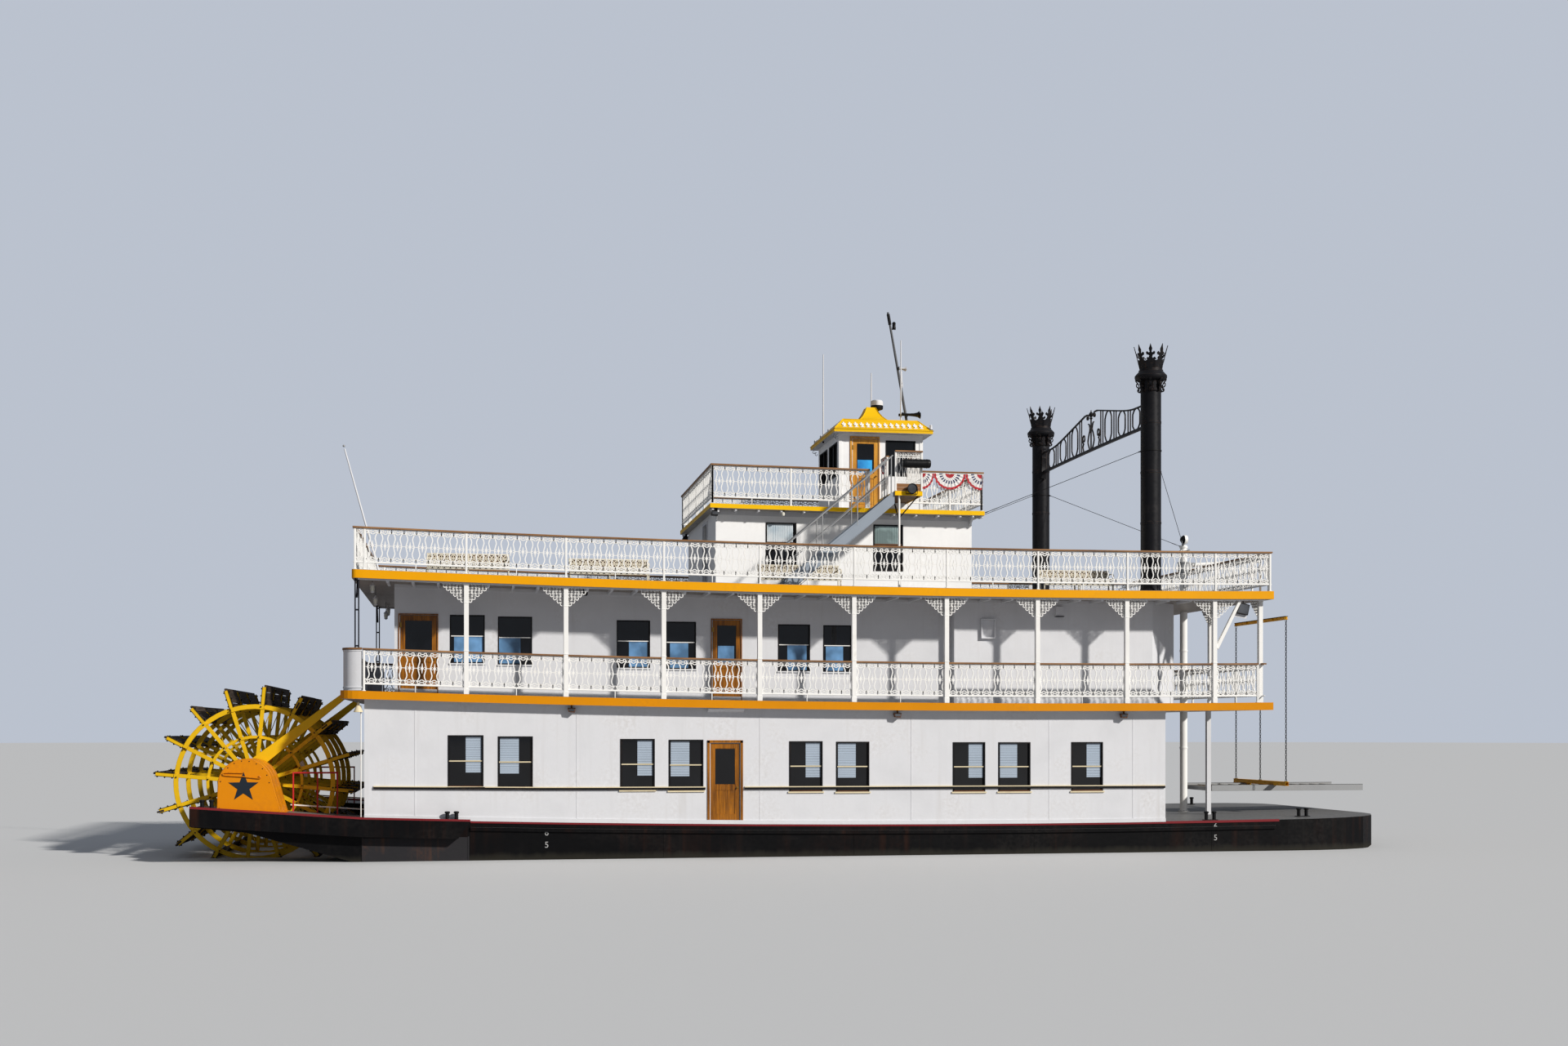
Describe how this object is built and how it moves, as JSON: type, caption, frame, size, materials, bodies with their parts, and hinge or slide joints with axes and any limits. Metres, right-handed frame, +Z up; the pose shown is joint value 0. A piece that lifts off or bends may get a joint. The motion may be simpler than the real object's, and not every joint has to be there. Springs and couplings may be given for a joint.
{
  "type": "stern-wheel paddle steamer",
  "caption": "Stern-wheel paddle steamer: flat barge hull, three railed decks, pilot house, twin stacks, turning wheel, hinged rudders and doors, swinging landing stage.",
  "frame": {"origin": "centre of the overall box, on the plane of the flat hull bottom", "axes": "+X towards the bow, +Y to port, +Z up; the waterline lies at z = 1.22 m"},
  "size_m": [33.6914, 10.8, 16.3969],
  "materials": {
    "hull_black": "satin",
    "white_paint": "satin",
    "deck_paint": "satin",
    "rail_paint": "satin",
    "grey_paint": "satin",
    "engine_iron": "rough",
    "roof_yellow": "satin",
    "stack_black": "satin",
    "wheel_yellow": "satin",
    "cover_orange": "satin",
    "rail_red": "satin",
    "door_wood": "varnished",
    "bunting_cloth": "matte"
  },
  "bodies": {
    "root": {"hull": "hull_black", "main_cabin_side_starboard": "white_paint", "main_cabin_side_port": "white_paint", "main_cabin_aft_wall": "white_paint", "main_cabin_front_wall": "white_paint", "promenade_cabin_side_starboard": "white_paint", "promenade_cabin_side_port": "white_paint", "promenade_cabin_aft_wall": "white_paint", "promenade_cabin_front_wall": "white_paint", "texas_cabin": "white_paint", "pilot_house": "white_paint", "aft_bulwark": "white_paint", "stair_landing": "white_paint", "foredeck_column_starboard": "white_paint", "foredeck_column_port": "white_paint", "roof_mast": "white_paint", "derrick_mast": "white_paint", "promenade_deck": "deck_paint", "hurricane_deck": "deck_paint", "sun_deck": "deck_paint", "colonnade_starboard": "rail_paint", "colonnade_port": "rail_paint", "front_colonnade": "rail_paint", "hurricane_rail_starboard": "rail_paint", "hurricane_rail_port": "rail_paint", "hurricane_rail_aft": "rail_paint", "hurricane_rail_front": "rail_paint", "sun_deck_rail": "rail_paint", "stair": "grey_paint", "ensign_staff": "grey_paint", "engine": "engine_iron", "pilot_roof": "roof_yellow", "stack_starboard": "stack_black", "stack_port": "stack_black", "stack_arch": "stack_black", "stack_stays_starboard": "stack_black", "stack_stays_port": "stack_black", "wheel_brace_starboard": "wheel_yellow", "wheel_brace_port": "wheel_yellow", "bearing_cover_starboard": "cover_orange", "bearing_cover_port": "cover_orange", "stern_handrail_starboard": "rail_red", "stern_handrail_port": "rail_red", "bunting_sun_deck": "bunting_cloth", "bunting_landing": "bunting_cloth"},
    "wheel": {"paddle_wheel": "wheel_yellow", "wheel_shaft": "wheel_yellow"},
    "rudder_starboard": {"rudder_starboard": "hull_black"},
    "rudder_port": {"rudder_port": "hull_black"},
    "derrick": {"derrick_boom": "stack_black", "stage_tackle": "grey_paint", "landing_stage": "grey_paint"},
    "promenade_door_aft_starboard": {"promenade_door_aft_starboard": "door_wood"},
    "promenade_door_aft_port": {"promenade_door_aft_port": "door_wood"},
    "promenade_door_forward_starboard": {"promenade_door_forward_starboard": "door_wood"},
    "promenade_door_forward_port": {"promenade_door_forward_port": "door_wood"},
    "pilot_door_starboard": {"pilot_door_starboard": "door_wood"},
    "pilot_door_port": {"pilot_door_port": "door_wood"},
    "main_door_starboard": {"main_door_starboard": "door_wood"},
    "main_door_port": {"main_door_port": "door_wood"}
  },
  "joints": [
    {"name": "wheel_turn", "type": "hinge", "parent": "root", "child": "wheel", "pos_m": [-14.36, 0, 3.12], "axis": [0, 1, 0], "continuous": true},
    {"name": "rudder_starboard_turn", "type": "hinge", "parent": "root", "child": "rudder_starboard", "pos_m": [-11.85, -1.8, 0.6], "axis": [0, 0, 1], "range_deg": [-35, 35]},
    {"name": "rudder_port_turn", "type": "hinge", "parent": "root", "child": "rudder_port", "pos_m": [-11.85, 1.8, 0.6], "axis": [0, 0, 1], "range_deg": [-35, 35]},
    {"name": "derrick_swing", "type": "hinge", "parent": "root", "child": "derrick", "pos_m": [11.7, 0, 9.3], "axis": [0, 0, 1], "range_deg": [-35, 35]},
    {"name": "promenade_door_aft_starboard_swing", "type": "hinge", "parent": "root", "child": "promenade_door_aft_starboard", "pos_m": [-10.743, -4.0093, 6.2], "axis": [0, 0, -1], "range_deg": [0, 100]},
    {"name": "promenade_door_aft_port_swing", "type": "hinge", "parent": "root", "child": "promenade_door_aft_port", "pos_m": [-10.743, 4.0093, 6.2], "axis": [0, 0, 1], "range_deg": [0, 100]},
    {"name": "promenade_door_forward_starboard_swing", "type": "hinge", "parent": "root", "child": "promenade_door_forward_starboard", "pos_m": [-2.823, -4.0093, 6.2], "axis": [0, 0, -1], "range_deg": [0, 100]},
    {"name": "promenade_door_forward_port_swing", "type": "hinge", "parent": "root", "child": "promenade_door_forward_port", "pos_m": [-2.823, 4.0093, 6.2], "axis": [0, 0, 1], "range_deg": [0, 100]},
    {"name": "pilot_door_starboard_swing", "type": "hinge", "parent": "root", "child": "pilot_door_starboard", "pos_m": [1.427, -1.4593, 11.5], "axis": [0, 0, -1], "range_deg": [0, 100]},
    {"name": "pilot_door_port_swing", "type": "hinge", "parent": "root", "child": "pilot_door_port", "pos_m": [1.427, 1.4593, 11.5], "axis": [0, 0, 1], "range_deg": [0, 100]},
    {"name": "main_door_starboard_swing", "type": "hinge", "parent": "root", "child": "main_door_starboard", "pos_m": [-3.023, -5.0207, 3], "axis": [0, 0, 1], "range_deg": [0, 95]},
    {"name": "main_door_port_swing", "type": "hinge", "parent": "root", "child": "main_door_port", "pos_m": [-3.023, 5.0207, 3], "axis": [0, 0, -1], "range_deg": [0, 95]}
  ],
  "couplings": [
    {"joint": "rudder_port_turn", "follows": "rudder_starboard_turn", "ratio": 1}
  ]
}
